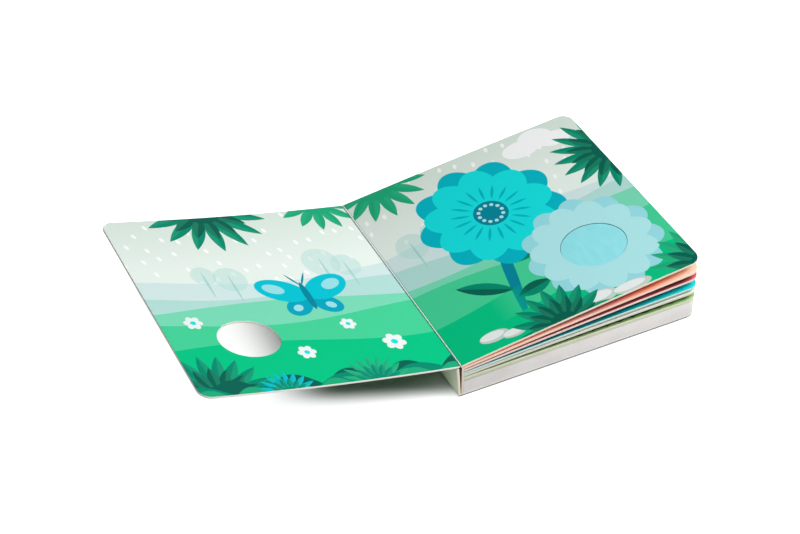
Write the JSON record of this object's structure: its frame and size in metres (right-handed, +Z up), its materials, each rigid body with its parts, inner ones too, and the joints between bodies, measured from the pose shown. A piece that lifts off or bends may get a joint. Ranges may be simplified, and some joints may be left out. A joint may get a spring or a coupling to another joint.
{
  "type": "touch-and-feel sound book",
  "caption": "Square board book lying open: front cover with an oval hole, fanned thick boards with soft oval patches, and a white foam base that holds a sound module.",
  "frame": {"origin": "middle of the back board's lower face, midway between gutter and fore edge", "axes": "+X from the spine to the fore edge, +Y from tail to head, +Z up"},
  "size_m": [0.3739, 0.19, 0.0786],
  "materials": {
    "cover_board": "printed board with a satin film, raw cream edges",
    "page_board": "printed board with a satin film, raw cream edges",
    "lining_card": "uncoated cream card",
    "white_foam": "fine closed-cell foam, matte",
    "patch_cloth": "short soft nap",
    "case_plastic": "moulded, matte",
    "door_plastic": "moulded, fine texture",
    "screw_steel": "plated",
    "cell_wrap": "plain sleeve",
    "contact_strip": "plated spring strip",
    "circuit_laminate": "green laminate",
    "black_resin": "glossy blob",
    "can_metal": "satin",
    "speaker_steel": "pressed, dark",
    "magnet_grey": "plain",
    "cone_paper": "black paper",
    "switch_steel": "folded can",
    "knob_plastic": "moulded",
    "dome_rubber": "translucent white",
    "button_plastic": "moulded",
    "lead_sleeve": "thin sleeve"
  },
  "bodies": {
    "book_block": {"back_cover": "cover_board", "spine_lining": "lining_card", "page_block": "page_board", "foam_base": "white_foam", "module_case": "case_plastic", "battery_door": "door_plastic", "door_screw": "screw_steel", "battery_1": "cell_wrap", "battery_2": "cell_wrap", "contact_bridge": "contact_strip", "contact_positive": "contact_strip", "contact_negative": "contact_strip", "circuit_board": "circuit_laminate", "sound_chip": "black_resin", "capacitor": "can_metal", "speaker_frame": "speaker_steel", "speaker_magnet": "magnet_grey", "speaker_cone": "cone_paper", "power_switch_body": "switch_steel", "button_guide": "case_plastic", "button_plate": "circuit_laminate", "button_dome": "dome_rubber", "battery_wires": "lead_sleeve", "speaker_wires": "lead_sleeve", "button_wires": "lead_sleeve", "touch_patch_1": "patch_cloth", "touch_patch_2": "patch_cloth", "touch_patch_3": "patch_cloth", "touch_patch_4": "patch_cloth", "touch_patch_5": "patch_cloth", "touch_patch_6": "patch_cloth"},
    "front_cover": {"front_cover": "cover_board"},
    "sound_button": {"button_cap": "button_plastic"},
    "power_switch": {"power_switch_knob": "knob_plastic"}
  },
  "joints": [
    {"name": "cover_hinge", "type": "hinge", "parent": "book_block", "child": "front_cover", "pos_m": [-0.095, 0, 0.02885], "axis": [0, 1, 0], "range_deg": [-23.2, 157.6]},
    {"name": "sound_button", "type": "slide", "parent": "book_block", "child": "sound_button", "axis": [0, 0, -1], "range_m": [0, 0.0008], "stiffness_N_per_m": 600, "deforming": ["button_dome"]},
    {"name": "power_switch", "type": "slide", "parent": "book_block", "child": "power_switch", "axis": [1, 0, 0], "range_m": [0, 0.0026]}
  ]
}
